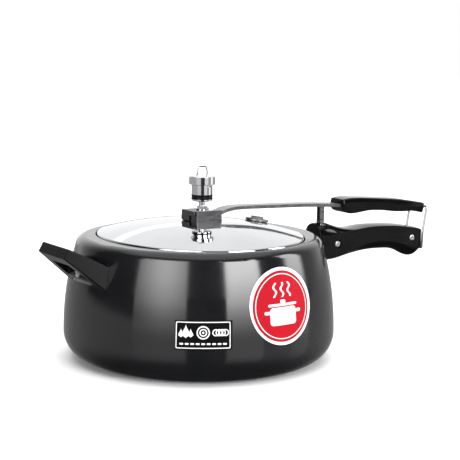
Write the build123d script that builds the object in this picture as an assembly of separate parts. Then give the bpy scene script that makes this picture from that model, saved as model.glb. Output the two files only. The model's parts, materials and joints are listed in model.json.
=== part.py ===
from build123d import *
import math
import os

# Stovetop pressure cooker with an inner oval lid held up by a lever.
# Millimetres. Origin: pan axis on the resting face of the base. +X runs along the long handle, +Z up.

# ---- pan ----
PAN_RADIUS = 123.0          # widest outside radius
PAN_HEIGHT = 111.5          # mouth plane
PAN_WALL = 4.0
BASE_LIFT = 0.2             # the pan's own underside stands this far above the resting face
BASE_RADIUS = 97.0          # where the flat base ends
BASE_CORNER = 26.0          # outside radius of the bottom corner
WALL_SWEEP = 277.0          # radius of the long arc of the wall, seen from the side
SHOULDER_START = 105.0      # height where the wall ends and the shoulder begins
MOUTH_A = 91.5              # half width of the oval mouth along the handles
MOUTH_B = 102.0             # half width across the handles
BASE_PLATE_RADIUS = 86.0
BASE_PLATE_THICK = 1.0

# ---- lid, drawn across the handles and then narrowed to the oval ----
OVAL = MOUTH_A / MOUTH_B
LID_CROWN = 124.0
LID_SHEET = 1.5
LID_FLAT = 16.0             # flat pad at the crown
LID_WALL_R = 101.0          # upright wall that stands in the mouth
LID_FLANGE_R = 106.0        # flange that reaches under the mouth's lip
LID_FLANGE_TOP = 105.0
GASKET_TOP = 107.15

# ---- vent ----
VENT_X = 1.8                # the vent tube stands this far from the pan axis, towards the long handle
TUBE_R = 2.9
TUBE_BORE_R = 1.5
TUBE_TOP = 150.2
TUBE_FOOT = 114.5
BRACKET_TOP = 134.0
BRACKET_SHEET = 2.5
BRACKET_HALF = 12.3
BRACKET_LEFT = -11.0
BRACKET_RIGHT = 15.4
BRACKET_STRAP_END = 6.3     # the top strap stops here, clear of the lever's barrel
PIN_X = 11.9
PIN_Z = 128.6
PIN_R = 2.5
VALVE_X = 62.0

# ---- lever ----
BAR_WIDTH = 14.0
BAR_THICK = 3.2
FULCRUM_X = 136.0
FULCRUM_Z = 109.5
FOOT_R = 3.0
LOOP_X = 259.0
LOOP_Z = 123.4
LOOP_WIRE_R = 1.1
LOOP_HALF = 12.6
LOOP_HOOK_X = 254.4
LOOP_HOOK_Z = 82.0

# ---- general ----
RUNNING = 0.05              # radial clearance of a pin that turns
SLACK = 0.3                 # gap between faces that move past each other

# ---- rivets and screws ----
HANDLE_RIVETS = [(y, z) for y in (-12.0, 12.0) for z in (68.0, 92.0)]
HELPER_RIVETS = [(y, 86.0) for y in (-11.0, 11.0)]
HELPER_SCREW_Z = 86.0
RIVET_R = 2.4
RIVET_HEAD_R = 4.5

# ---- long handle ----
SADDLE_THICK = 3.0          # steel plate on the pan wall
TANG_HALF = 1.5             # half thickness of the steel tang in the handle
TANG_END = 247.0
TANG_LOW = 86.0
TANG_HIGH = 99.0
HANDLE_SCREWS = [(149.5, 93.0), (243.0, 92.6)]
SCREW_R = 2.0
SCREW_HEAD_R = 3.3
HANDLE_SIDE = 12.0          # half width of the handle at its screws
SEAT_TOP = 107.4            # steel seat under the lever's foot
HANDLE_SECTIONS = [
    (127.5, 12.4, 77.0, 79.0, 101.6, 113.4),
    (140.0, 12.4, 77.3, 79.6, 102.4, 113.2),
    (152.0, 12.1, 78.4, 81.2, 103.8, 109.6),
    (167.0, 11.8, 80.6, 86.0, 105.4, 106.8),
    (190.0, 11.5, 83.4, 91.6, 107.2, 108.4),
    (208.0, 11.5, 83.4, 92.0, 107.0, 108.2),
    (228.0, 11.8, 80.4, 88.2, 105.5, 106.7),
    (243.0, 11.5, 74.0, 84.0, 103.2, 104.4),
    (250.5, 11.2, 74.6, 82.4, 101.8, 102.8),
    (255.4, 10.8, 80.6, 83.6, 99.6, 100.6),
]

# ---- helper handle ----
HELPER_PLATE = 2.2          # steel plate behind the helper handle
GRIP_HALF = 25.0            # half length of the helper grip
GRIP_PROFILE = [(-144.0, 112.2), (-148.6, 104.0), (-139.6, 97.4), (-134.8, 108.4)]
GRIP_THICK = 9.0            # thickness of the two arms at the grip
ROOT_X = -100.0             # a plane inside the pan, where the outer shape ends
ROOT_PROFILE = [(33.4, 90.8), (36.9, 63.7)]
ROOT_GAP_HALF = 24.0        # half width of the finger gap at that plane
FLANGE_THICK = 7.0          # root between the arms, on the wall
FLANGE_LOW = 76.5
FLANGE_HIGH = 97.0

# ---- safety valve and bracket tabs ----
VALVE_TILT = 9.0            # degrees, square to the dome under it
VALVE_SHANK_R = 4.0
TAB_TOP = 129.6             # top of the near end tab
TAB_EDGE = -2.4
TAB_REACH = 9.5             # how far the far end tab reaches past the middle
TAB_STEP = 1.2              # it stands this far out from the near one

# ---- vent weight ----
WEIGHT_LOW = 142.0          # heights of the weight's parts, from the bottom up
WEIGHT_BASE_TOP = 143.8
WEIGHT_RING_TOP = 148.1
WEIGHT_CAP_LOW = 157.1
WEIGHT_CAP_TOP = 164.8
WEIGHT_R = 9.6
WEIGHT_CAP_R = 12.0
WEIGHT_BORE_R = 3.3
WEIGHT_BORE_TOP = 154.6
NEEDLE_HEAD_R = 2.9

# ---- upper handle and bar ----
BAR_LINE = [(PIN_X, PIN_Z), (20.5, 131.4), (30.0, 133.6), (42.0, 134.2), (66.0, 133.6), (104.0, 132.6),
            (136.0, 131.0), (156.0, 129.6), (205.0, 126.8), (LOOP_X, LOOP_Z)]
BARREL_R = 3.5              # rolled end of the bar round the pin
EYE_R = 3.2                 # eye of the bar round the loop's wire
# Each section is (x, lowest z, ridge z, top z).
UPPER_SECTIONS = [
    (155.6, 125.4, 131.6, 135.4),
    (163.0, 121.8, 132.2, 136.5),
    (182.0, 122.6, 131.8, 136.1),
    (206.0, 122.2, 129.6, 134.2),
    (232.0, 119.6, 126.4, 131.3),
    (257.0, 116.2, 122.6, 127.2),
]
UPPER_TOP_HALF = 9.4        # half width of the flat top
UPPER_RIDGE_HALF = 11.3     # half width at the ridge along each side
UPPER_LOW_HALF = 10.2
UPPER_SCREW_X = 205.0

# ---- labels ----
LABEL_FILM = 0.25
ROUND_LABEL_R = 32.5
ROUND_LABEL_Z = 65.7
ROUND_LABEL_TURN = 4.15     # degrees round the pan from -Y, towards the long handle
SQUARE_LABEL_HALF = 23.7
SQUARE_LABEL_LOW = 33.6
SQUARE_LABEL_HIGH = 57.8
SQUARE_LABEL_TURN = -30.0


def save(shape, node):
    """Write one node."""
    export_step(shape, os.path.join("parts", node + ".step"))


def rod(radius, start, end):
    """A straight round rod from one point to another."""
    run = Vector(*end) - Vector(*start)
    plane = Plane(origin=start, z_dir=run)
    return extrude(plane * Circle(radius), amount=run.length)


def rod_z(radius, low, high, x=0.0, y=0.0):
    """A straight round rod along Z."""
    return rod(radius, (x, y, low), (x, y, high))


def rod_y(radius, low, high, x, z):
    """A straight round rod along Y."""
    return rod(radius, (x, low, z), (x, high, z))


def block(x0, x1, y0, y1, z0, z1):
    """A box between six face positions."""
    centre = ((x0 + x1) / 2, (y0 + y1) / 2, (z0 + z1) / 2)
    return Pos(*centre) * Box(x1 - x0, y1 - y0, z1 - z0)


def hexagon(across_flats, low, high, x=0.0, y=0.0):
    """A hexagonal prism standing on +Z."""
    sketch = RegularPolygon(across_flats / math.sqrt(3), 6)
    return Pos(x, y, low) * extrude(sketch, amount=high - low)


def turned(points):
    """A solid of revolution about Z from (radius, height) points."""
    outline = Plane.XZ * make_face(Polyline(*[(r, z) for r, z in points], close=True))
    return revolve(outline, Axis.Z)


def softened(shape, edges, radius):
    """Round edges, by less where the full radius can't be made."""
    for share in (1.0, 0.7, 0.4):
        try:
            return fillet(edges, radius * share)
        except Exception:
            continue
    return shape


def narrowed(shape):
    """Turn a round solid into the lid's oval."""
    return scale(shape, (OVAL, 1.0, 1.0))


def lofted(sections):
    """A handle body through cross-sections in YZ planes.

    Each section is (x, half width, lowest z, side's lower z, side's upper z, crown z).
    """
    faces = []
    for x, half, low, side_low, side_high, crown in sections:
        a, b, c, d = (-half, side_low), (half, side_low), (half, side_high), (-half, side_high)
        edges = [
            ThreePointArc(a, (0, low), b),
            Line(b, c),
            ThreePointArc(c, (0, crown), d),
            Line(d, a),
        ]
        plane = Plane(origin=(x, 0, 0), x_dir=(0, 1, 0), z_dir=(1, 0, 0))
        faces.append(plane * make_face(edges))
    return loft(faces)


# ---------------------------------------------------------------- pan

def pan_solid(inset):
    """The filled pan shape, its surface moved inward by inset."""
    corner = BASE_CORNER - inset
    sweep = WALL_SWEEP - inset
    corner_z = BASE_LIFT + BASE_CORNER
    sweep_x = PAN_RADIUS - WALL_SWEEP
    drop = SHOULDER_START - corner_z
    angle = math.asin(drop / WALL_SWEEP)
    shoulder_r = (PAN_HEIGHT - SHOULDER_START) / (1.0 - math.sin(angle))
    shoulder_x = sweep_x + (WALL_SWEEP - shoulder_r) * math.cos(angle)
    shoulder_z = corner_z + (WALL_SWEEP - shoulder_r) * math.sin(angle)
    small = shoulder_r - inset

    def on_arc(x, z, radius, turn):
        return (x + radius * math.cos(turn), z + radius * math.sin(turn))

    bottom_end = (BASE_RADIUS, corner_z - corner)
    wall_start = (BASE_RADIUS + corner, corner_z)
    wall_end = on_arc(sweep_x, corner_z, sweep, angle)
    top_start = (shoulder_x, shoulder_z + small)
    mid_turn = (angle + math.pi / 2) / 2
    edges = [
        Line((0, bottom_end[1]), bottom_end),
        ThreePointArc(bottom_end, on_arc(BASE_RADIUS, corner_z, corner, -math.pi / 4), wall_start),
        ThreePointArc(wall_start, on_arc(sweep_x, corner_z, sweep, angle / 2), wall_end),
        ThreePointArc(wall_end, on_arc(shoulder_x, shoulder_z, small, mid_turn), top_start),
        Line(top_start, (0, top_start[1])),
        Line((0, top_start[1]), (0, bottom_end[1])),
    ]
    return revolve(Plane.XZ * make_face(edges), Axis.Z)


def wall_patch(inner, outer, x0, x1, half_y, z0, z1):
    """A plate that follows the outside of the pan, between two offsets from it."""
    plate = pan_solid(-outer) - pan_solid(-inner)
    return plate & block(x0, x1, -half_y, half_y, z0, z1)


def wall_x(z, y=0.0):
    """Distance of the pan's outer wall from the YZ plane at a height and a side position."""
    radius = PAN_RADIUS - WALL_SWEEP + math.sqrt(WALL_SWEEP ** 2 - (z - BASE_LIFT - BASE_CORNER) ** 2)
    return math.sqrt(radius ** 2 - y ** 2)


def rivet_holes():
    """Bores for the rivets of both handles."""
    holes = [rod(RIVET_R, (90, y, z), (140, y, z)) for y, z in HANDLE_RIVETS]
    holes += [rod(RIVET_R, (-90, y, z), (-140, y, z)) for y, z in HELPER_RIVETS]
    return Compound(holes)


def make_pan():
    """Pressed pan: bellied wall, oval mouth, recess for the base plate, rivet bores."""
    body = pan_solid(0.0) - pan_solid(PAN_WALL)
    mouth = Pos(0, 0, PAN_HEIGHT - 20) * extrude(Ellipse(MOUTH_A, MOUTH_B), amount=40)
    body = body - mouth
    lip = [e for e in body.edges() if abs(e.center().Z - PAN_HEIGHT) < 0.01 and e.length < 640]
    body = softened(body, lip, 1.2)
    body = body - rod_z(BASE_PLATE_RADIUS + 0.1, 0, BASE_PLATE_THICK)
    return body - rivet_holes()


def make_base_plate():
    """Flat disc under the pan."""
    plate = rod_z(BASE_PLATE_RADIUS, 0, BASE_PLATE_THICK)
    return chamfer(plate.edges().sort_by(Axis.Z)[0], 0.3)


def make_rivets(places, side, thick, plate):
    """Round-headed rivets through the pan wall and a plate, heads inside and outside."""
    wall_shell = pan_solid(0.0) - pan_solid(PAN_WALL) - rivet_holes()
    rivets = []
    for y, z in places:
        wall = wall_x(z, y)
        inside = wall - PAN_WALL - 1.6
        outside = wall + thick + 1.9
        shank = rod(RIVET_R, (side * inside, y, z), (side * outside, y, z))
        for foot, tip in ((inside + 3.0, inside), (outside - 3.0, outside)):
            head = rod(RIVET_HEAD_R, (side * foot, y, z), (side * tip, y, z))
            rim = head.edges().filter_by(GeomType.CIRCLE).sort_by_distance((side * tip, y, z))[0]
            shank = shank + chamfer(rim, 0.9)
        shank = shank - wall_shell - plate
        rivets.append(max(shank.solids(), key=lambda s: s.volume))
    return rivets


# ---------------------------------------------------------------- long handle on the pan


def make_pan_bracket():
    """Saddle on the pan wall, a long tang inside the handle, and the seat for the lever's foot."""
    saddle = wall_patch(0.0, SADDLE_THICK, 90, 140, 19.0, 60.0, 99.0)
    tang = block(110, TANG_END, -TANG_HALF, TANG_HALF, TANG_LOW, TANG_HIGH) - pan_solid(-1.0)
    neck = block(110, 131.9, -TANG_HALF, TANG_HALF, 64.0, TANG_HIGH) - pan_solid(-1.0)
    seat = block(131.9, 141.7, -6.8, 6.8, TANG_HIGH - 0.2, SEAT_TOP)
    bracket = saddle + tang + neck + seat
    bracket = bracket - rod_y(FOOT_R + SLACK, -20, 20, FULCRUM_X, FULCRUM_Z)
    for x, z in HANDLE_SCREWS:
        bracket = bracket - rod_y(SCREW_R + 0.1, -20, 20, x, z)
    for y, z in HANDLE_RIVETS:
        bracket = bracket - rod(RIVET_R, (90, y, z), (140, y, z))
    return bracket


def make_pan_handle():
    """Moulded handle, hollow for the tang, with a pocket for the lever's foot."""
    body = lofted(HANDLE_SECTIONS)
    end = [e for e in body.edges() if e.center().X > HANDLE_SECTIONS[-1][0] - 0.5]
    body = softened(body, end, 1.6)
    body = body - block(120, TANG_END + 0.3, -TANG_HALF - 0.1, TANG_HALF + 0.1, TANG_LOW - 0.1, TANG_HIGH + 0.1)
    body = body - block(120, 132.2, -TANG_HALF - 0.1, TANG_HALF + 0.1, 60, TANG_HIGH + 0.1)
    body = body - block(131.6, 142.0, -7.1, 7.1, TANG_HIGH - 0.4, 120)
    body = body - (pan_solid(-SADDLE_THICK - 0.2) & block(90, 140, -30, 30, 50, 120))
    for x, z in HANDLE_SCREWS:
        body = body - rod_y(SCREW_R + 0.1, -20, 20, x, z)
        body = body - rod_y(SCREW_HEAD_R + 0.9, -HANDLE_SIDE - 2, -HANDLE_SIDE + 3.2, x, z)
        body = body - rod_y(SCREW_HEAD_R + 0.9, HANDLE_SIDE - 3.4, HANDLE_SIDE + 2, x, z)
    return body - rod_y(LOOP_WIRE_R + SLACK, -20, 20, LOOP_HOOK_X, LOOP_HOOK_Z)


def cross_screw(x, z):
    """A screw across the handle, domed head on the -Y side, plain end on the other."""
    head_y = -HANDLE_SIDE + 3.2
    head = rod_y(SCREW_HEAD_R, head_y - 2.4, head_y, x, z)
    head = softened(head, head.edges().sort_by(Axis.Y)[0], 1.2)
    slot = block(x - 4, x + 4, head_y - 3, head_y - 1.6, z - 0.5, z + 0.5)
    return (head - slot) + rod_y(SCREW_R, head_y, HANDLE_SIDE - 1.0, x, z)


def cross_nut(x, z):
    """A hexagonal nut in the far recess of the handle."""
    sketch = RegularPolygon(6.6 / math.sqrt(3), 6)
    plane = Plane(origin=(x, HANDLE_SIDE - 3.4, z), x_dir=(1, 0, 0), z_dir=(0, 1, 0))
    return extrude(plane * sketch, amount=2.2) - rod_y(SCREW_R, 0, 20, x, z)


# ---------------------------------------------------------------- helper handle


def face_through(points):
    """A flat face through points in space."""
    return make_face(Polyline(*points, close=True))


def helper_envelope():
    """The handle's outer shape: a wedge that widens from the grip to the wall."""
    outer_top, outer_low = GRIP_PROFILE[:2]
    (top_half, top_z), (low_half, low_z) = ROOT_PROFILE
    tip = [(outer_top[0], -GRIP_HALF, outer_top[1]), (outer_low[0], -GRIP_HALF, outer_low[1]),
           (outer_low[0], GRIP_HALF, outer_low[1]), (outer_top[0], GRIP_HALF, outer_top[1])]
    root = [(ROOT_X, -top_half, top_z), (ROOT_X, -low_half, low_z), (ROOT_X, low_half, low_z),
            (ROOT_X, top_half, top_z)]
    wedge = loft([face_through(tip), face_through(root)], ruled=True)
    outside = [e for e in wedge.edges() if e.center().X < ROOT_X - 5]
    return softened(wedge, outside, 0.9)


def finger_gap():
    """The space between the grip, the two arms and the root: open above and below."""
    inner_low, inner_top = GRIP_PROFILE[2:]
    lean = (inner_top[0] - inner_low[0]) / (inner_top[1] - inner_low[1])
    floor = 55.0
    near = inner_low[0] - lean * (inner_low[1] - floor)
    half = GRIP_HALF - GRIP_THICK
    plan = [(near, -half), (near, half), (ROOT_X, ROOT_GAP_HALF), (ROOT_X, -ROOT_GAP_HALF)]
    face = face_through([(x, y, floor) for x, y in plan])
    return extrude(face, amount=70.0, dir=(lean, 0, 1)) - pan_solid(-FLANGE_THICK)


def make_helper_handle():
    """Moulded loop: grip, two arms and a root that lies on the wall."""
    keep = pan_solid(-FLANGE_THICK) - block(-140, -90, -60, 60, FLANGE_LOW, FLANGE_HIGH)
    body = helper_envelope() - finger_gap()
    middle = block(-140, -90, -ROOT_GAP_HALF + 1.0, ROOT_GAP_HALF - 1.0, 50.0, 120.0)
    body = body - (keep & middle)
    body = body - pan_solid(-0.1)
    pocket = pan_solid(-HELPER_PLATE - 0.2) & block(-140, -90, -16.2, 16.2, 77.8, 94.2)
    body = body - pocket
    for y, z in HELPER_RIVETS:
        body = body - rod(RIVET_HEAD_R + 0.4, (-100, y, z), (-wall_x(z, y) - HELPER_PLATE - 2.4, y, z))
    body = body - rod(2.6, (-100, 0, HELPER_SCREW_Z), (-140, 0, HELPER_SCREW_Z))
    head_x = -wall_x(HELPER_SCREW_Z) - 5.2
    return body - rod(4.4, (head_x, 0, HELPER_SCREW_Z), (-140, 0, HELPER_SCREW_Z))


def make_helper_bracket():
    """Small plate between the helper handle and the wall."""
    plate = wall_patch(0.0, HELPER_PLATE, -140, -90, 16.0, 78.0, 94.0)
    for y, z in HELPER_RIVETS:
        plate = plate - rod(RIVET_R, (-90, y, z), (-140, y, z))
    return plate - rod(2.5, (-90, 0, HELPER_SCREW_Z), (-140, 0, HELPER_SCREW_Z))


def make_helper_screw():
    """Slotted screw that holds the helper handle to its plate."""
    wall = -wall_x(HELPER_SCREW_Z)
    head_x = wall - 5.2
    head = rod(4.1, (head_x - 2.4, 0, HELPER_SCREW_Z), (head_x, 0, HELPER_SCREW_Z))
    head = softened(head, head.edges().sort_by(Axis.X)[0], 1.0)
    slot = block(head_x - 3, head_x - 1.5, -5, 5, HELPER_SCREW_Z - 0.6, HELPER_SCREW_Z + 0.6)
    return (head - slot) + rod(2.5, (head_x, 0, HELPER_SCREW_Z), (wall - 0.9, 0, HELPER_SCREW_Z))


# ---------------------------------------------------------------- lid

def lid_outline(drop):
    """Upper surface of the lid, moved down and in by drop, from the crown to the flange."""
    wall = LID_WALL_R - drop
    crown = LID_CROWN - drop
    edge = (99.0 - drop, 113.0 - drop)
    rise = crown - edge[1]
    run = edge[0] - LID_FLAT
    dome_r = (run ** 2 + rise ** 2) / (2 * rise)
    middle = (LID_FLAT + run / 2, crown - dome_r + math.sqrt(dome_r ** 2 - (run / 2) ** 2))
    return [(0, crown), (LID_FLAT, crown), middle, edge, (wall, 111.0 - drop)]


def valve_seat(x):
    """Height of the lid's upper surface on the handle's side of the crown."""
    run = 99.0 - LID_FLAT
    rise = LID_CROWN - 113.0
    dome_r = (run ** 2 + rise ** 2) / (2 * rise)
    return LID_CROWN - dome_r + math.sqrt(dome_r ** 2 - (x / OVAL - LID_FLAT) ** 2)


VALVE_SEAT = valve_seat(VALVE_X)


def tilted(shape):
    """Stand a part drawn about the origin on the lid at the valve."""
    return Pos(VALVE_X, 0, VALVE_SEAT) * Rot(0, VALVE_TILT, 0) * shape


def make_lid():
    """Domed lid with an upright wall and a flange that reaches under the mouth."""
    top = lid_outline(0.0)
    under = lid_outline(LID_SHEET)
    flange_low = LID_FLANGE_TOP - LID_SHEET
    edges = [
        Line(top[0], top[1]),
        ThreePointArc(top[1], top[2], top[3]),
        ThreePointArc(top[3], (100.5, 112.3), top[4]),
        Line(top[4], (LID_WALL_R, LID_FLANGE_TOP)),
        Line((LID_WALL_R, LID_FLANGE_TOP), (LID_FLANGE_R, LID_FLANGE_TOP)),
        Line((LID_FLANGE_R, LID_FLANGE_TOP), (LID_FLANGE_R, flange_low)),
        Line((LID_FLANGE_R, flange_low), (under[4][0], flange_low)),
        Line((under[4][0], flange_low), under[4]),
        Line(under[4], under[3]),
        ThreePointArc(under[3], under[2], under[1]),
        Line(under[1], under[0]),
        Line(under[0], top[0]),
    ]
    lid = narrowed(revolve(Plane.XZ * make_face(edges), Axis.Z))
    lid = lid - rod_z(TUBE_R, 100, 140, x=VENT_X)
    return lid - tilted(rod_z(VALVE_SHANK_R, -12, 8))


def make_gasket():
    """Rubber ring lying on the flange, with two fine ribs on its upper face."""
    low = LID_FLANGE_TOP
    inner = LID_WALL_R
    outer = LID_FLANGE_R - 1.0
    rib = GASKET_TOP - 0.75
    ring = turned([
        (inner, low), (outer, low), (outer, rib), (outer - 1.2, GASKET_TOP), (outer - 1.9, rib),
        (inner + 1.6, rib), (inner + 0.9, GASKET_TOP), (inner, rib),
    ])
    return narrowed(ring)


def make_lid_bracket():
    """Folded steel bracket on the crown: two side plates, a top strap and two end tabs that overlap."""
    inner = BRACKET_HALF - BRACKET_SHEET
    low, top = LID_CROWN, BRACKET_TOP
    left = BRACKET_LEFT
    parts = block(left, BRACKET_STRAP_END, -BRACKET_HALF, BRACKET_HALF, top - BRACKET_SHEET, top)
    for side in (-1, 1):
        y0, y1 = sorted((side * inner, side * BRACKET_HALF))
        parts = parts + block(left, BRACKET_RIGHT, y0, y1, low, top)
    parts = parts + block(left, left + BRACKET_SHEET, -BRACKET_HALF, TAB_EDGE, low, TAB_TOP)
    far_tab = block(left - TAB_STEP, left + BRACKET_SHEET, -TAB_REACH, BRACKET_HALF, TAB_TOP, top)
    far_tab = far_tab + block(left - TAB_STEP, left + BRACKET_SHEET, 0.0, BRACKET_HALF, low + 0.8, top)
    across = far_tab.edges().filter_by(Axis.X)
    parts = parts + softened(far_tab, [e for e in across if abs(e.center().Y) > 5.0], 1.6)
    upright = parts.edges().filter_by(Axis.Z)
    corners = [e for e in upright if abs(e.center().Y + BRACKET_HALF) < 0.01 and e.center().X < 0]
    parts = softened(parts, corners, 1.2)
    parts = parts - rod_z(TUBE_R, 100, 140, x=VENT_X)
    return parts - rod_y(PIN_R, -20, 20, PIN_X, PIN_Z)


def make_pivot_pin():
    """Pin that carries the lid on the lever."""
    return rod_y(PIN_R, -BRACKET_HALF, BRACKET_HALF, PIN_X, PIN_Z)


# ---------------------------------------------------------------- vent tube and weight

def make_vent_tube():
    """Steam tube through the crown of the lid."""
    return rod_z(TUBE_R, TUBE_FOOT, TUBE_TOP) - rod_z(TUBE_BORE_R, 100, 160)


def make_tube_collar():
    """Flanged hexagon nut that clamps the bracket to the crown."""
    collar = rod_z(5.3, BRACKET_TOP, BRACKET_TOP + 1.2) + hexagon(9.0, BRACKET_TOP + 1.2, 137.7)
    return collar - rod_z(TUBE_R, 100, 160)


def make_tube_nut():
    """Nut and washer inside the lid."""
    under = LID_CROWN - LID_SHEET
    nut = rod_z(8.0, under - 1.2, under) + hexagon(12.0, under - 5.6, under - 1.2)
    return nut - rod_z(TUBE_R, 100, 160)


def make_weight_base():
    """Lower plate of the weight."""
    return turned([(WEIGHT_BORE_R, WEIGHT_LOW), (8.6, WEIGHT_LOW), (WEIGHT_R, WEIGHT_LOW + 0.7),
                   (WEIGHT_R, WEIGHT_BASE_TOP), (WEIGHT_BORE_R, WEIGHT_BASE_TOP)])


def make_weight_ring():
    """Black insulating ring, with a shallow groove round it."""
    mid = (WEIGHT_BASE_TOP + WEIGHT_RING_TOP) / 2
    outer = WEIGHT_R + 0.1
    return turned([(5.2, WEIGHT_BASE_TOP), (outer, WEIGHT_BASE_TOP), (outer, mid - 0.5), (outer - 0.4, mid),
                   (outer, mid + 0.5), (outer, WEIGHT_RING_TOP), (5.2, WEIGHT_RING_TOP)])


def make_weight_body():
    """Heavy turned core with a spigot through the ring and a blind bore for the tube."""
    body = turned([(WEIGHT_BORE_R, WEIGHT_BASE_TOP), (5.2, WEIGHT_BASE_TOP), (5.2, WEIGHT_RING_TOP),
                   (WEIGHT_R, WEIGHT_RING_TOP), (WEIGHT_R, 160.0), (0, 160.0),
                   (0, WEIGHT_BORE_TOP), (WEIGHT_BORE_R, WEIGHT_BORE_TOP)])
    groove = rod_z(4.4, 144.6, 145.8)
    for turn in range(3):
        slot = block(WEIGHT_R - 1.4, 20, -1.7, 1.7, 155.2, 156.2)
        body = body - Rot(0, 0, -80 + 120 * turn) * slot
    return body - groove


def make_weight_cap():
    """Turned cap with a skirt that sits over the core."""
    cap = turned([(WEIGHT_R + 0.02, WEIGHT_CAP_LOW), (WEIGHT_CAP_R - 0.4, WEIGHT_CAP_LOW),
                  (WEIGHT_CAP_R, WEIGHT_CAP_LOW + 0.4), (WEIGHT_CAP_R, WEIGHT_CAP_TOP - 0.7),
                  (WEIGHT_CAP_R - 0.7, WEIGHT_CAP_TOP), (0, WEIGHT_CAP_TOP), (0, 160.02),
                  (WEIGHT_R + 0.02, 160.02)])
    for side in (-1, 1):
        cap = cap - rod_z(0.8, 162.0, 170.0, x=side * 5.2)
    return cap


def make_finger_loop():
    """Bent wire on top of the weight."""
    top = 173.2
    path = FilletPolyline((-5.2, 0, 162.0), (-5.2, 0, 167.6), (-4.2, 0, top), (4.2, 0, top), (5.2, 0, 167.6),
                          (5.2, 0, 162.0), radius=1.6)
    return sweep(Plane(origin=(-5.2, 0, 162.0), z_dir=(0, 0, 1)) * Circle(0.8), path=path)


def make_catch_spring():
    """Open spring ring that grips the tube, in a groove near the mouth of the weight."""
    ring = Pos(0, 0, 145.2) * Torus(3.85, 0.5)
    return ring - block(0, 10, -1.2, 1.2, 140, 150)


def make_needle():
    """Needle that closes the tube's bore."""
    return turned([(0, 145.6), (1.15, 147.4), (1.15, TUBE_TOP + SLACK), (NEEDLE_HEAD_R, TUBE_TOP + SLACK),
                   (NEEDLE_HEAD_R, 153.8), (0, 153.8)])


# ---------------------------------------------------------------- safety valve

def make_valve_body():
    """Flanged hexagon body of the safety valve, standing square to the lid."""
    body = rod_z(VALVE_SHANK_R, -7.0, 0.6) + rod_z(10.8, 0.6, 2.6) + hexagon(11.0, 2.6, 4.8)
    rim = [e for e in body.edges() if abs(e.center().Z - 2.6) < 0.01 and e.length > 60]
    body = softened(body, rim, 0.5)
    return tilted(body - rod_z(2.0, -10, 10))


def make_valve_plug():
    """Soft plug in the bore of the safety valve."""
    return tilted(rod_z(2.0, -6.0, 5.2))


def make_valve_washer(lid):
    """Rubber washer pressed to the curve of the lid."""
    return tilted(rod_z(9.6, -0.6, 0.6) - rod_z(VALVE_SHANK_R, -5, 5)) - lid


def make_valve_nut():
    """Nut inside the lid."""
    return tilted(hexagon(12.0, -5.8, -LID_SHEET - 0.6) - rod_z(VALVE_SHANK_R, -10, 5))


# ---------------------------------------------------------------- lever


def make_lever_bar():
    """Flat steel bar from the bracket's pin to the eye for the locking loop."""
    upper = [(x, z + BAR_THICK / 2) for x, z in BAR_LINE[1:]]
    lower = [(x, z - BAR_THICK / 2) for x, z in BAR_LINE[1:]]
    start = BAR_LINE[0]
    edges = [
        Spline(*upper),
        Line(upper[-1], lower[-1]),
        Spline(*lower),
        Line(lower[0], (start[0] + 1.0, start[1] - 1.6)),
        Line((start[0] + 1.0, start[1] - 1.6), (start[0] - 1.0, start[1] + 1.8)),
        Line((start[0] - 1.0, start[1] + 1.8), upper[0]),
    ]
    bar = extrude(Plane.XZ * make_face(edges), amount=BAR_WIDTH / 2, both=True)
    bar = bar + rod_y(BARREL_R, -BRACKET_HALF + BRACKET_SHEET + SLACK,
                      BRACKET_HALF - BRACKET_SHEET - SLACK, PIN_X, PIN_Z)
    bar = bar - rod_y(PIN_R + RUNNING, -20, 20, PIN_X, PIN_Z)
    bar = bar + rod_y(EYE_R, -6.0, 6.0, LOOP_X, LOOP_Z)
    return bar - rod_y(LOOP_WIRE_R + RUNNING, -20, 20, LOOP_X, LOOP_Z)


def make_lever_leg(bar):
    """Folded channel from the bar down to the rounded foot that rocks on the bracket's seat."""
    low = FULCRUM_Z
    leg = block(FULCRUM_X - 2.2, FULCRUM_X + 2.2, -3.2, 3.2, low, 132.0)
    leg = leg - block(FULCRUM_X - 5, FULCRUM_X + 0.8, -1.9, 1.9, low + 5.0, 140)
    leg = leg + rod_y(FOOT_R, -6.0, 6.0, FULCRUM_X, FULCRUM_Z)
    leg = leg - bar
    return max(leg.solids(), key=lambda s: s.volume)


def make_upper_handle(bar):
    """Moulded grip round the end of the bar."""
    faces = []
    for x, low, ridge, top in UPPER_SECTIONS:
        side = [(UPPER_LOW_HALF - 1.2, low), (UPPER_LOW_HALF, low + 1.2), (UPPER_RIDGE_HALF, ridge),
                (UPPER_TOP_HALF + 0.8, top - 0.8), (UPPER_TOP_HALF - 0.6, top)]
        outline = side + [(-y, z) for y, z in reversed(side)]
        plane = Plane(origin=(x, 0, 0), x_dir=(0, 1, 0), z_dir=(1, 0, 0))
        faces.append(plane * make_face(Polyline(*outline, close=True)))
    body = loft(faces)
    ends = [e for e in body.edges() if e.center().X > 256.9 or e.center().X < 155.7]
    body = softened(body, ends, 1.2)
    body = body - bar
    body = body - rod_y(LOOP_WIRE_R + 0.3, -20, 20, LOOP_X, LOOP_Z)
    body = body - rod_z(2.1, 110, 126, x=UPPER_SCREW_X)
    body = body - rod_z(3.9, 110, 123.4, x=UPPER_SCREW_X)
    return max(body.solids(), key=lambda s: s.volume)


def make_upper_screw(bar):
    """Screw from below that holds the grip on the bar."""
    head = rod_z(3.4, 121.6, 123.4, x=UPPER_SCREW_X)
    slot = block(UPPER_SCREW_X - 5, UPPER_SCREW_X + 5, -0.5, 0.5, 121, 122.2)
    screw = (head - slot) + rod_z(2.0, 123.4, 126.5, x=UPPER_SCREW_X)
    return screw - bar


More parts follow.
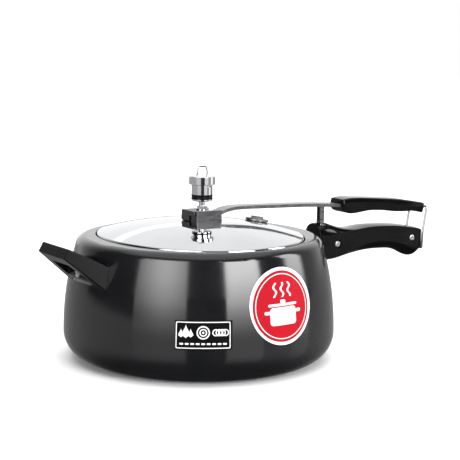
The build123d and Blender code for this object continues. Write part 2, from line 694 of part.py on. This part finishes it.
def make_locking_loop():
    """Closed wire loop: through the bar's eye, down both sides, under the lower handle's end."""
    h = LOOP_HALF
    shoulder = (LOOP_X - 1.0, 116.5)
    waist = (LOOP_X - 4.0, 98.0)
    corners = [
        (LOOP_X, 0, LOOP_Z), (LOOP_X, -h, LOOP_Z), (shoulder[0], -h, shoulder[1]), (waist[0], -h, waist[1]),
        (LOOP_HOOK_X, -h, LOOP_HOOK_Z), (LOOP_HOOK_X, h, LOOP_HOOK_Z),
        (waist[0], h, waist[1]), (shoulder[0], h, shoulder[1]), (LOOP_X, h, LOOP_Z), (LOOP_X, 0.02, LOOP_Z),
    ]
    path = FilletPolyline(*corners, radius=1.9)
    return sweep(Plane(origin=corners[0], z_dir=(0, -1, 0)) * Circle(LOOP_WIRE_R), path=path)


# ---------------------------------------------------------------- labels

def make_round_label():
    """Round printed label on the wall, centred on -Y."""
    disc = rod(ROUND_LABEL_R, (0, -90, ROUND_LABEL_Z), (0, -140, ROUND_LABEL_Z))
    skin = pan_solid(-LABEL_FILM) - pan_solid(0.0)
    return Rot(0, 0, ROUND_LABEL_TURN) * (skin & disc)


def make_square_label():
    """Rectangular printed label, further round towards the helper handle."""
    box = block(-SQUARE_LABEL_HALF, SQUARE_LABEL_HALF, -140, -90, SQUARE_LABEL_LOW, SQUARE_LABEL_HIGH)
    skin = pan_solid(-LABEL_FILM) - pan_solid(0.0)
    return Rot(0, 0, SQUARE_LABEL_TURN) * (skin & box)


VENT_NODES = [
    (make_vent_tube, "vent_tube"), (make_tube_collar, "vent_tube_collar"), (make_tube_nut, "vent_tube_nut"),
    (make_needle, "weight_needle"), (make_weight_base, "weight_base"), (make_weight_ring, "weight_ring"),
    (make_weight_body, "weight_body"), (make_weight_cap, "weight_cap"),
    (make_finger_loop, "weight_finger_loop"), (make_catch_spring, "weight_catch_spring"),
]


def main():
    """Write every node."""
    os.makedirs("parts", exist_ok=True)
    bar = make_lever_bar()
    lid = make_lid()
    saddle = make_pan_bracket()
    helper_bracket = make_helper_bracket()
    save(make_pan(), "pan_body")
    save(make_base_plate(), "base_plate")
    save(saddle, "pan_handle_bracket")
    save(Compound(make_rivets(HANDLE_RIVETS, 1, SADDLE_THICK, saddle)), "pan_handle_rivets")
    save(make_pan_handle(), "pan_handle")
    save(Compound([cross_screw(x, z) for x, z in HANDLE_SCREWS]), "pan_handle_screws")
    save(Compound([cross_nut(x, z) for x, z in HANDLE_SCREWS]), "pan_handle_nuts")
    save(make_helper_handle(), "helper_handle")
    save(helper_bracket, "helper_bracket")
    save(Compound(make_rivets(HELPER_RIVETS, -1, HELPER_PLATE, helper_bracket)), "helper_rivets")
    save(make_helper_screw(), "helper_screw")
    save(make_round_label(), "round_label")
    save(make_square_label(), "square_label")
    save(lid, "lid")
    save(make_gasket(), "gasket")
    save(make_lid_bracket(), "lid_bracket")
    save(make_pivot_pin(), "lid_pivot_pin")
    for make, node in VENT_NODES:
        save(Pos(VENT_X, 0, 0) * make(), node)
    save(make_valve_body(), "safety_valve_body")
    save(make_valve_plug(), "safety_valve_plug")
    save(make_valve_washer(lid), "safety_valve_washer")
    save(make_valve_nut(), "safety_valve_nut")
    save(bar, "lever_bar")
    save(make_lever_leg(bar), "lever_leg")
    save(make_upper_handle(bar), "upper_handle")
    save(make_upper_screw(bar), "upper_handle_screw")
    save(make_locking_loop(), "locking_loop")


main()
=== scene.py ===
import json
import math

import bpy
from mathutils import Matrix, Vector


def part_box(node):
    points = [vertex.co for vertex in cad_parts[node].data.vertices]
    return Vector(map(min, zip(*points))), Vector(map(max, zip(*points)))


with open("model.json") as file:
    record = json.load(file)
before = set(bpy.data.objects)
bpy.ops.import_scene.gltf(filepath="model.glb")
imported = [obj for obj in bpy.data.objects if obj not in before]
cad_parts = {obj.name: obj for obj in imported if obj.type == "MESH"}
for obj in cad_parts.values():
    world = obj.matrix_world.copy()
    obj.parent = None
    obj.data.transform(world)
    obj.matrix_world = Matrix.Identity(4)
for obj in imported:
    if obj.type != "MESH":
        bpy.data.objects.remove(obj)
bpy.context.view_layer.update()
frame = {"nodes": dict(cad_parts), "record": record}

# Looks of the stovetop pressure cooker: materials, printed labels, studio light and camera.
# Metres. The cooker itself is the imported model; nothing of it is moved here.

MM = 0.001
nodes = frame["nodes"]

# ---- camera ----
CAMERA_AZIMUTH = 31.97          # degrees, how far the line of sight is turned from +Y towards +X
CAMERA_DROP = 10.90             # degrees below the horizon, towards the point that it stands off from
CAMERA_DISTANCE = 1.2364
CAMERA_YAW = 1.285              # degrees that the camera then looks to the right of that point
CAMERA_PITCH = -2.56            # degrees that it looks above it
CAMERA_ROLL = 0.844
CAMERA_LENS = 106.07            # millimetres, on a 36 mm sensor
STAND_OFF_HEIGHT = 0.060        # height on the pan axis of that point

# ---- light ----
# Brightness of the surroundings by direction; 1 is the white of the picture.
ENVIRONMENT_BACK = 1.22
ENVIRONMENT_TOP = 1.15
ENVIRONMENT_FRONT = 0.030
ENVIRONMENT_FLOOR = 0.42
SUN_STRENGTH = 2.1
FLOOR_HALF = 6.0                # half the width of the floor
STREAK = 0.70                   # a brighter slanting line in the surroundings behind, seen in the lid
STREAK_LOW = 11.0               # degrees above the horizon, where the line starts
STREAK_SLOPE = 1.07             # degrees up for each degree round to the left
SUN_SPREAD = 70.0               # degrees, so that the overhead light is soft
BACK_EDGE = (106.0, 112.0)      # degrees off the line of sight, where the white surroundings begin
LEFT_BOX = (-56.0, -10.5)       # degrees round to the right of the viewer, from side to side
RIGHT_BOX = (23.0, 55.0)
STRIP = (84.0, 104.0)
BOX_TOP = (30.0, 36.0)          # degrees above the horizon over which a soft box ends
STRIP_TOP = (34.0, 40.0)
LEFT_BOX_FOOT = (-8.0, 20.0)    # the same over which it begins
RIGHT_BOX_FOOT = (-8.0, 22.0)
STRIP_FOOT = (-12.0, 16.0)
BOX_EDGE = 1.2                  # degrees, softness of the upright edges
STRIP_EDGE = 3.0
LEFT_BOX_STRENGTH = 6.4
RIGHT_BOX_STRENGTH = 11.5
STRIP_STRENGTH = 7.0


# ---------------------------------------------------------------- formulas in node trees

class Value:
    """A number in a node tree, so that a formula can be written as a formula."""

    def __init__(self, tree, source):
        self.tree = tree
        self.source = source

    def __add__(self, other):
        return math_node(self.tree, "ADD", self, other)

    def __sub__(self, other):
        return math_node(self.tree, "SUBTRACT", self, other)

    def __mul__(self, other):
        return math_node(self.tree, "MULTIPLY", self, other)

    def __truediv__(self, other):
        return math_node(self.tree, "DIVIDE", self, other)

    def __radd__(self, other):
        return math_node(self.tree, "ADD", other, self)

    def __rsub__(self, other):
        return math_node(self.tree, "SUBTRACT", other, self)

    def __neg__(self):
        return math_node(self.tree, "MULTIPLY", self, -1.0)

    def __abs__(self):
        return math_node(self.tree, "ABSOLUTE", self)


def plug(tree, socket, thing):
    """Give a socket a value, a colour or another node's output."""
    if isinstance(thing, Value):
        tree.links.new(thing.source, socket)
    elif isinstance(thing, bpy.types.NodeSocket):
        tree.links.new(thing, socket)
    elif isinstance(thing, (tuple, list)) and len(thing) == 3 and len(socket.default_value) == 4:
        socket.default_value = (*thing, 1.0)
    else:
        socket.default_value = thing


def math_node(tree, kind, *inputs):
    node = tree.nodes.new("ShaderNodeMath")
    node.operation = kind
    for socket, thing in zip(node.inputs, inputs):
        plug(tree, socket, thing)
    return Value(tree, node.outputs[0])


def most(first, *others):
    for other in others:
        first = math_node(first.tree, "MAXIMUM", first, other)
    return first


def root(value):
    return math_node(value.tree, "SQRT", value)


def sine(value):
    return math_node(value.tree, "SINE", value)


def angle_of(up, along):
    return math_node(up.tree, "ARCTAN2", up, along)


def ramp(value, low, high, start=0.0, end=1.0):
    """Goes smoothly from start to end as the value goes from low to high."""
    node = value.tree.nodes.new("ShaderNodeMapRange")
    node.interpolation_type = "SMOOTHSTEP"
    for socket, thing in zip(node.inputs, (value, low, high, start, end)):
        plug(value.tree, socket, thing)
    return Value(value.tree, node.outputs[0])


def mixed(tree, amount, first, second):
    node = tree.nodes.new("ShaderNodeMix")
    node.data_type = "RGBA"
    plug(tree, node.inputs[0], amount)
    plug(tree, node.inputs[6], first)
    plug(tree, node.inputs[7], second)
    return node.outputs[2]


def place(tree, stretch=None):
    """Object coordinates in metres, stretched along the axes if asked."""
    source = tree.nodes.new("ShaderNodeTexCoord").outputs["Object"]
    if stretch is None:
        return source
    node = tree.nodes.new("ShaderNodeVectorMath")
    node.operation = "MULTIPLY"
    tree.links.new(source, node.inputs[0])
    node.inputs[1].default_value = stretch
    return node.outputs[0]


def split(tree, vector):
    node = tree.nodes.new("ShaderNodeSeparateXYZ")
    tree.links.new(vector, node.inputs[0])
    return [Value(tree, out) for out in node.outputs]


def noise(tree, where, size, detail=2.0, roughness=0.5):
    """Noise from 0 to 1 whose grains are about size metres wide."""
    node = tree.nodes.new("ShaderNodeTexNoise")
    tree.links.new(where, node.inputs["Vector"])
    node.inputs["Scale"].default_value = 1.0 / size
    node.inputs["Detail"].default_value = detail
    node.inputs["Roughness"].default_value = roughness
    return Value(tree, node.outputs[0])


def bumped(tree, height, depth, strength=1.0, normal=None):
    """A normal from a height that goes from 0 to 1 over a depth in metres."""
    node = tree.nodes.new("ShaderNodeBump")
    node.inputs["Strength"].default_value = strength
    node.inputs["Distance"].default_value = depth
    plug(tree, node.inputs["Height"], height)
    if normal is not None:
        tree.links.new(normal, node.inputs["Normal"])
    return node.outputs[0]


def rounded_edges(tree, radius):
    """A normal that rounds sharp edges over a radius in metres."""
    node = tree.nodes.new("ShaderNodeBevel")
    node.samples = 4
    node.inputs["Radius"].default_value = radius
    return node.outputs[0]


def edge_amount(tree, edge_normal):
    """1 on an edge, 0 on a face: how far the rounded normal leans from the true one."""
    geometry = tree.nodes.new("ShaderNodeNewGeometry")
    node = tree.nodes.new("ShaderNodeVectorMath")
    node.operation = "DOT_PRODUCT"
    tree.links.new(edge_normal, node.inputs[0])
    tree.links.new(geometry.outputs["Normal"], node.inputs[1])
    return ramp(Value(tree, node.outputs["Value"]), 0.995, 0.90)


def material(name):
    made = bpy.data.materials.new(name)
    made.use_nodes = True
    tree = made.node_tree
    return made, tree, tree.nodes["Principled BSDF"]


def finish(tree, shader, **sockets):
    """Set the shader's sockets, with _ for a space in a name."""
    for name, thing in sockets.items():
        plug(tree, shader.inputs[name.replace("_", " ")], thing)


# ---------------------------------------------------------------- materials

def anodised():
    """Hard-anodised aluminium: near black and glossy, with a faint turned grain and cloudy gloss."""
    made, tree, shader = material("hard_anodised")
    where = place(tree)
    x, y, z = split(tree, where)
    cloud = noise(tree, where, 45 * MM, 3.0)
    grain = noise(tree, place(tree, (1.0, 1.0, 14.0)), 2.4 * MM, 3.0)
    pores = noise(tree, where, 0.35 * MM, 1.0)
    radius = root(x * x + y * y)
    rubbed = ramp(z, 1.5 * MM, 0.2 * MM) * ramp(noise(tree, where, 3 * MM, 4.0), 0.40, 0.62)
    colour = mixed(tree, ramp(cloud, 0.3, 0.7), (0.0050, 0.0052, 0.0058), (0.0075, 0.0078, 0.0086))
    colour = mixed(tree, ramp(pores, 0.62, 0.78), colour, (0.013, 0.0133, 0.0145))
    colour = mixed(tree, rubbed * 0.7, colour, (0.10, 0.10, 0.105))
    inside = ramp(radius, 119 * MM, 118 * MM) * 0.05
    rough = 0.062 + ramp(cloud, 0.3, 0.7) * 0.015 + ramp(grain, 0.35, 0.65) * 0.018 + inside
    height = grain * 0.6 + pores * 0.4
    finish(tree, shader, Base_Color=colour, Roughness=rough, IOR=1.62,
           Normal=bumped(tree, height, 0.004 * MM, 0.35))
    return made


def mirror_steel():
    """Polished lid: a mirror with fine polishing lines that run round it."""
    made, tree, shader = material("mirror_steel")
    where = place(tree)
    x, y, z = split(tree, where)
    turn = angle_of(y, x)
    radius = root(x * x + y * y)
    rings = noise(tree, combined(tree, turn * 0.4, radius * 900.0, z * 0.0), 1.0, 2.0)
    haze = noise(tree, combined(tree, turn * 2.5, radius * 18.0, z * 0.0), 1.0, 3.0)
    smudge = noise(tree, where, 28 * MM, 4.0)
    colour = mixed(tree, ramp(haze, 0.35, 0.70), (0.575, 0.58, 0.595), (0.615, 0.62, 0.63))
    rough = 0.035 + ramp(rings, 0.3, 0.7) * 0.025 + ramp(smudge, 0.52, 0.75) * 0.03
    finish(tree, shader, Base_Color=colour, Metallic=1.0, Roughness=rough,
           Normal=bumped(tree, rings, 0.0015 * MM, 0.35))
    return made


def combined(tree, x, y, z):
    node = tree.nodes.new("ShaderNodeCombineXYZ")
    for socket, thing in zip(node.inputs, (x, y, z)):
        plug(tree, socket, thing)
    return node.outputs[0]


def steel(name, dark, light, rough, stretch, grain_size=0.5 * MM, edge=0.25 * MM):
    """Rolled or pressed steel: streaks along one axis, small scratches, brighter edges that are partly
    rubbed wear and partly a painted highlight.
    """
    made, tree, shader = material(name)
    streak = noise(tree, place(tree, stretch), grain_size, 4.0, 0.6)
    patch = noise(tree, place(tree), 12 * MM, 3.0)
    scratch = noise(tree, place(tree, (stretch[2] * 3, stretch[0] * 3, stretch[1])), 1.3 * MM, 2.0)
    edge_normal = rounded_edges(tree, edge)
    colour = mixed(tree, ramp(streak, 0.3, 0.7), dark, light)
    # Edges mixed toward light grey: partly rubbed wear, partly a painted highlight on the edges.
    colour = mixed(tree, edge_amount(tree, edge_normal) * 0.45, colour, (0.72, 0.72, 0.73))
    spread = ramp(streak, 0.3, 0.7) * 0.10 + ramp(patch, 0.3, 0.7) * 0.06
    spread = spread + ramp(scratch, 0.66, 0.74) * 0.10
    finish(tree, shader, Base_Color=colour, Metallic=1.0, Roughness=spread + rough,
           Normal=bumped(tree, streak, 0.006 * MM, 0.5, edge_normal))
    return made


def turned_steel(name, dark, light, rough, pitch):
    """Steel or alloy with rings left by turning, about the Z axis."""
    made, tree, shader = material(name)
    x, y, z = split(tree, place(tree))
    radius = root(x * x + y * y)
    groove = sine(radius * (2 * math.pi / pitch)) * 0.5 + 0.5
    uneven = noise(tree, place(tree), 6 * MM, 3.0)
    colour = mixed(tree, ramp(uneven, 0.3, 0.7) * 0.6 + groove * 0.4, dark, light)
    finish(tree, shader, Base_Color=colour, Metallic=1.0, Roughness=uneven * 0.15 + rough,
           Normal=bumped(tree, groove, 0.010 * MM, 0.5))
    return made


def chrome(name, colour, rough):
    """Bright plating over a turned body: very fine rings and a few dull specks."""
    made, tree, shader = material(name)
    where = place(tree)
    rings = noise(tree, place(tree, (1.0, 1.0, 40.0)), 3 * MM, 2.0)
    specks = noise(tree, where, 0.5 * MM, 2.0)
    film = noise(tree, where, 7 * MM, 2.0)
    edge_normal = rounded_edges(tree, 0.15 * MM)
    dull = tuple(0.85 * c for c in colour)
    finish(tree, shader, Base_Color=mixed(tree, ramp(specks, 0.66, 0.8) * 0.6, colour, dull),
           Metallic=1.0, Roughness=ramp(film, 0.4, 0.8) * 0.04 + ramp(rings, 0.4, 0.7) * 0.02 + rough,
           Normal=bumped(tree, rings, 0.003 * MM, 0.4, edge_normal))
    return made


def bakelite(name, rough, coat, edge_light, specular):
    """Black moulding compound: deep black, faint flow marks and filler specks, edges lighter grey, partly
    real wear and partly a painted highlight.
    """
    made, tree, shader = material(name)
    where = place(tree)
    flow = noise(tree, place(tree, (0.35, 1.0, 1.0)), 9 * MM, 4.0, 0.6)
    specks = noise(tree, where, 0.30 * MM, 1.0)
    peel = noise(tree, where, 2.2 * MM, 2.0)
    edge_normal = rounded_edges(tree, 0.45 * MM)
    edge_wear_and_highlight = edge_amount(tree, edge_normal) * ramp(flow, 0.25, 0.65, 0.5, 1.0)
    colour = mixed(tree, ramp(flow, 0.3, 0.7), (0.0014, 0.0014, 0.0015), (0.0028, 0.0028, 0.0030))
    colour = mixed(tree, ramp(specks, 0.66, 0.80), colour, (0.006, 0.0058, 0.0056))
    # Edges mixed toward grey: partly wear, partly a painted highlight standing in for the bright lines along
    # the edges.
    colour = mixed(tree, edge_wear_and_highlight * edge_light, colour, (0.10, 0.10, 0.105))
    roughness = ramp(flow, 0.3, 0.7) * 0.06 + ramp(specks, 0.6, 0.8) * 0.05 + rough
    finish(tree, shader, Base_Color=colour, Roughness=roughness, IOR=1.50, Coat_Weight=coat,
           Specular_IOR_Level=specular,
           Coat_Roughness=0.05, Normal=bumped(tree, peel, 0.005 * MM, 0.35, edge_normal))
    return made


def rubber():
    """Moulded rubber: dull, slightly chalky."""
    made, tree, shader = material("gasket_rubber")
    where = place(tree)
    chalk = noise(tree, where, 4 * MM, 4.0)
    grain = noise(tree, where, 0.4 * MM, 2.0)
    colour = mixed(tree, ramp(chalk, 0.35, 0.75), (0.018, 0.018, 0.018), (0.040, 0.040, 0.040))
    finish(tree, shader, Base_Color=colour, Roughness=ramp(grain, 0.3, 0.7) * 0.15 + 0.55,
           Normal=bumped(tree, grain, 0.02 * MM, 0.5))
    return made


# ---------------------------------------------------------------- printed labels

def wall_place(tree, node):
    """Millimetres along the pan wall and up it, from the middle of a label."""
    low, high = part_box(node)
    middle = (low + high) / 2
    corners = [v.co for v in nodes[node].data.vertices]
    start = math.atan2(sum(c.y for c in corners), sum(c.x for c in corners))
    wall = sum(math.hypot(c.x, c.y) for c in corners) / len(corners)
    x, y, z = split(tree, place(tree))
    across = x * -math.sin(start) + y * math.cos(start)
    out = x * math.cos(start) + y * math.sin(start)
    return angle_of(across, out) * (wall / MM), z * (1 / MM) - middle.z / MM


def disc(u, v, radius, at=(0.0, 0.0), soft=0.12):
    du, dv = u - at[0], v - at[1]
    return ramp(root(du * du + dv * dv), radius + soft, radius - soft)


def ring(u, v, radius, width, at=(0.0, 0.0)):
    return disc(u, v, radius + width / 2, at) * (1.0 - disc(u, v, radius - width / 2, at))


def slab(u, v, half_u, half_v, at=(0.0, 0.0), corner=0.0, soft=0.12):
    """A filled rectangle with round corners."""
    du = most(abs(u - at[0]) - (half_u - corner), 0.0)
    dv = most(abs(v - at[1]) - (half_v - corner), 0.0)
    return ramp(root(du * du + dv * dv), corner + soft, corner - soft)


def flame(u, v, at, height):
    """A drop with its point up."""
    du, dv = (u - at[0]) / height, (v - at[1]) / height
    width = ramp(dv, 0.75, -0.15, 0.0, 0.34) * ramp(dv, -0.42, -0.1, 0.0, 1.0)
    return ramp(abs(du) - width, 0.015, -0.015) * ramp(dv, -0.42, -0.40) * ramp(dv, 0.72, 0.70)


def round_label():
    """Red disc in a white border, with a pot and three wisps of steam."""
    made, tree, shader = material("round_label")
    u, v = wall_place(tree, "round_label")
    low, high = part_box("round_label")
    radius = (high.z - low.z) / 2 / MM
    field = disc(u, v, radius - 2.6)
    pot = slab(u, v, 13.5, 7.5, (0.0, -8.0), 3.0)
    cover = slab(u, v, 15.0, 1.0, (0.0, 1.6), 0.9)
    knob = slab(u, v, 2.6, 1.5, (0.0, 4.3), 1.2)
    ears = slab(u, v, 19.0, 1.3, (0.0, -4.5), 1.2)
    steam = None
    for side in (-7.5, 0.0, 7.5):
        wave = sine(v * 0.75 + side) * 1.3
        wisp = ramp(abs(u - side - wave), 1.05, 0.80) * ramp(abs(v - 14.0), 6.2, 5.9)
        steam = wisp if steam is None else most(steam, wisp)
    rim = ring(u, v, radius - 5.4, 0.7)
    figure = most(pot, cover, knob, ears, steam, rim)
    fibre = noise(tree, place(tree), 0.5 * MM, 2.0)
    fade = noise(tree, place(tree), 25 * MM, 2.0)
    red = mixed(tree, ramp(fade, 0.3, 0.7), (0.33, 0.0012, 0.0085), (0.37, 0.0018, 0.011))
    colour = mixed(tree, figure, red, (0.74, 0.74, 0.74))
    colour = mixed(tree, field, (0.78, 0.78, 0.78), colour)
    height = figure * 0.5 + fibre * 0.2
    finish(tree, shader, Base_Color=colour, Roughness=fibre * 0.12 + 0.42, Specular_IOR_Level=0.10,
           Normal=bumped(tree, height, 0.02 * MM, 0.3))
    return made


def square_label():
    """Black label with a thin border, a flame, a hot plate, a coil and a row of marks."""
    made, tree, shader = material("square_label")
    u, v = wall_place(tree, "square_label")
    low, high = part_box("square_label")
    half_v = (high.z - low.z) / 2 / MM
    half_u = half_v * 47.4 / 24.2
    border = slab(u, v, half_u - 1.0, half_v - 1.0, corner=1.0)
    border = border * (1.0 - slab(u, v, half_u - 1.7, half_v - 1.7, corner=0.8))
    fire = most(flame(u, v, (-14.4, 1.6), 10.0), flame(u, v, (-18.4, 0.8), 6.5),
                flame(u, v, (-10.4, 0.8), 6.5))
    plate = most(ring(u, v, 5.0, 1.0, (0.0, 2.2)), ring(u, v, 2.7, 0.9, (0.0, 2.2)),
                 disc(u, v, 0.9, (0.0, 2.2)))
    coil = None
    for step in range(4):
        turn = ring(u, v, 2.5, 0.8, (10.4 + 2.7 * step, 2.2))
        coil = turn if coil is None else most(coil, turn)
    feet = None
    for step in range(9):
        mark = slab(u, v, 1.5, 0.7, (-18.0 + 4.5 * step, -7.2), 0.4)
        feet = mark if feet is None else most(feet, mark)
    figure = most(border, fire, plate, coil, feet)
    fibre = noise(tree, place(tree), 0.5 * MM, 2.0)
    ink = mixed(tree, fibre, (0.0016, 0.0016, 0.0016), (0.0028, 0.0028, 0.0028))
    colour = mixed(tree, figure, ink, (0.74, 0.74, 0.74))
    finish(tree, shader, Base_Color=colour, Roughness=fibre * 0.15 + 0.45, Specular_IOR_Level=0.06,
           Normal=bumped(tree, figure * 0.5 + fibre * 0.2, 0.02 * MM, 0.3))
    return made


# ---------------------------------------------------------------- what wears what

LONG = (0.06, 1.0, 1.0)          # streaks along the handles
UPRIGHT = (1.0, 1.0, 0.06)

finishes = {
    "anodised": anodised(),
    "base_steel": turned_steel("base_steel", (0.42, 0.42, 0.43), (0.58, 0.58, 0.59), 0.22, 0.8 * MM),
    "bracket_steel": steel("bracket_steel", (0.30, 0.30, 0.31), (0.42, 0.42, 0.43), 0.28, UPRIGHT),
    # bracket_dark is a darker copy of the bracket steel: painted shade for the shaded parts in and behind
    # the bracket.
    "bracket_dark": steel("bracket_dark", (0.09, 0.09, 0.095), (0.15, 0.15, 0.155), 0.28, LONG),
    "bar_steel": steel("bar_steel", (0.20, 0.20, 0.21), (0.30, 0.30, 0.31), 0.20, LONG),
    "rivet_alu": turned_steel("rivet_alu", (0.50, 0.50, 0.51), (0.64, 0.64, 0.65), 0.30, 1.3 * MM),
    "screw_steel": steel("screw_steel", (0.62, 0.62, 0.63), (0.76, 0.76, 0.77), 0.18, LONG),
    "bakelite": bakelite("bakelite", 0.075, 0.05, 0.22, 0.26),
    "bakelite_satin": bakelite("bakelite_satin", 0.10, 0.0, 0.50, 0.10),
    "round_label": round_label(),
    "square_label": square_label(),
    "mirror_steel": mirror_steel(),
    "gasket_rubber": rubber(),
    "chrome": chrome("chrome", (0.76, 0.76, 0.78), 0.03),
    "valve_steel": steel("valve_steel", (0.16, 0.16, 0.17), (0.26, 0.26, 0.27), 0.36, LONG),
    "valve_plug": turned_steel("valve_plug", (0.45, 0.44, 0.42), (0.58, 0.57, 0.54), 0.35, 0.9 * MM),
    "wire": chrome("wire", (0.50, 0.50, 0.52), 0.10),
    "needle_steel": turned_steel("needle_steel", (0.58, 0.58, 0.58), (0.72, 0.72, 0.72), 0.18, 0.5 * MM),
    "ring_black": bakelite("ring_black", 0.22, 0.0, 0.2, 0.15),
}

slot_of = {row["node"]: row["material_slot"] for row in frame["record"]["subparts"]}
for node_name, shown in nodes.items():
    shown.data.materials.clear()
    shown.data.materials.append(finishes[slot_of[node_name]])


# ---------------------------------------------------------------- floor and light

def make_floor():
    """A wide pale floor, seen and lit but left out of reflections, like a lit studio table."""
    mesh = bpy.data.meshes.new("floor")
    half = FLOOR_HALF
    corners = [(-half, -half, 0), (half, -half, 0), (half, half, 0), (-half, half, 0)]
    mesh.from_pydata(corners, [], [(0, 1, 2, 3)])
    floor = bpy.data.objects.new("floor", mesh)
    bpy.context.scene.collection.objects.link(floor)
    floor.visible_glossy = False
    made, tree, shader = material("floor_paper")
    grain = noise(tree, place(tree), 1.2 * MM, 2.0)
    colour = mixed(tree, grain, (0.90, 0.90, 0.90), (0.93, 0.93, 0.93))
    finish(tree, shader, Base_Color=colour, Roughness=0.9, Specular_IOR_Level=0.0)
    mesh.materials.append(made)


def make_sun():
    light = bpy.data.lights.new("overhead", "SUN")
    light.energy = SUN_STRENGTH
    light.angle = math.radians(SUN_SPREAD)
    sun = bpy.data.objects.new("overhead", light)
    sun.visible_glossy = False
    bpy.context.scene.collection.objects.link(sun)


def panel(side, height, left, right, low, high, edge, strength):
    """A soft box: a patch of the surroundings between two sides and two heights, in degrees."""
    across = ramp(side, left - edge, left + edge) * ramp(side, right + edge, right - edge)
    up = ramp(height, low[0], low[1], 0.03, 1.0) * ramp(height, high[1], high[0])
    up = up * ramp(height, -40.0, -14.0)
    return across * up * strength


def make_world():
    """Studio surroundings, painted by direction round the line of sight of the main view.

    White behind and above, dark towards the viewer, two soft boxes and a strip.
    """
    world = bpy.data.worlds.new("studio")
    bpy.context.scene.world = world
    world.use_nodes = True
    tree = world.node_tree
    background = tree.nodes["Background"]
    x, y, z = split(tree, tree.nodes.new("ShaderNodeTexCoord").outputs["Generated"])
    turn = math.radians(CAMERA_AZIMUTH)
    away = x * math.sin(turn) + y * math.cos(turn)
    right = x * math.cos(turn) - y * math.sin(turn)
    degrees = 180.0 / math.pi
    side = angle_of(right, -away) * degrees
    height = angle_of(z, root(right * right + away * away)) * degrees
    off_axis = abs(side)

    back = ramp(off_axis, *BACK_EDGE) * ramp(off_axis, 110.0, 162.0, 0.22, 1.0) * ENVIRONMENT_BACK
    streak_line = (180.0 - off_axis) * STREAK_SLOPE + STREAK_LOW
    streak = ramp(abs(height - streak_line), 2.0, 1.0) * ramp(off_axis, 160.0, 166.0) * ramp(side, 0.0, -1.0)
    back = back + streak * STREAK
    above = ramp(height, 38.0, 62.0) * ENVIRONMENT_TOP
    upper = most(back, above, ENVIRONMENT_FRONT)
    gap = ramp(side, -12.0, -8.0) * ramp(side, 25.0, 21.0)
    below = ramp(height, -50.0, -6.0, 0.03, ENVIRONMENT_FLOOR) * (1.0 - gap * 0.90)
    sky = ramp(height, -3.0, 1.0)
    surround = upper * sky + below * (1.0 - sky)
    left_box = panel(side, height, *LEFT_BOX, LEFT_BOX_FOOT, BOX_TOP, BOX_EDGE, LEFT_BOX_STRENGTH)
    boxes = left_box * ramp(side, -62.0, -30.0, 0.35, 1.0) * ramp(side, -8.0, -30.0, 0.60, 1.0)
    boxes = boxes + panel(side, height, *RIGHT_BOX, RIGHT_BOX_FOOT, BOX_TOP, BOX_EDGE, RIGHT_BOX_STRENGTH)
    boxes = boxes + panel(side, height, *STRIP, STRIP_FOOT, STRIP_TOP, STRIP_EDGE, STRIP_STRENGTH)
    lit = surround + boxes
    seen = tree.nodes.new("ShaderNodeLightPath").outputs["Is Camera Ray"]
    shade = mixed(tree, seen, combined(tree, lit, lit, lit), (1.0, 1.0, 1.0))
    tree.links.new(shade, background.inputs["Color"])


def make_camera():
    """A long lens at about eye height over a table, with no shift."""
    turn, drop = math.radians(CAMERA_AZIMUTH), math.radians(CAMERA_DROP)
    line = Vector((math.sin(turn) * math.cos(drop), math.cos(turn) * math.cos(drop), -math.sin(drop)))
    camera = bpy.data.objects.new("camera", bpy.data.cameras.new("camera"))
    bpy.context.scene.collection.objects.link(camera)
    camera.location = Vector((0, 0, STAND_OFF_HEIGHT)) - line * CAMERA_DISTANCE
    turn += math.radians(CAMERA_YAW)
    drop += math.radians(CAMERA_PITCH)
    forward = Vector((math.sin(turn) * math.cos(drop), math.cos(turn) * math.cos(drop), -math.sin(drop)))
    level = Vector((math.cos(turn), -math.sin(turn), 0))
    upward = level.cross(forward)
    frame_axes = Matrix((level, upward, -forward)).transposed()
    roll = Matrix.Rotation(math.radians(-CAMERA_ROLL), 3, forward)
    camera.rotation_euler = (roll @ frame_axes).to_euler()
    camera.data.sensor_width = 36.0
    camera.data.lens = CAMERA_LENS
    camera.data.clip_start = 0.01
    bpy.context.scene.camera = camera


make_floor()
make_sun()
make_world()
make_camera()
bpy.context.scene.view_settings.view_transform = "Standard"
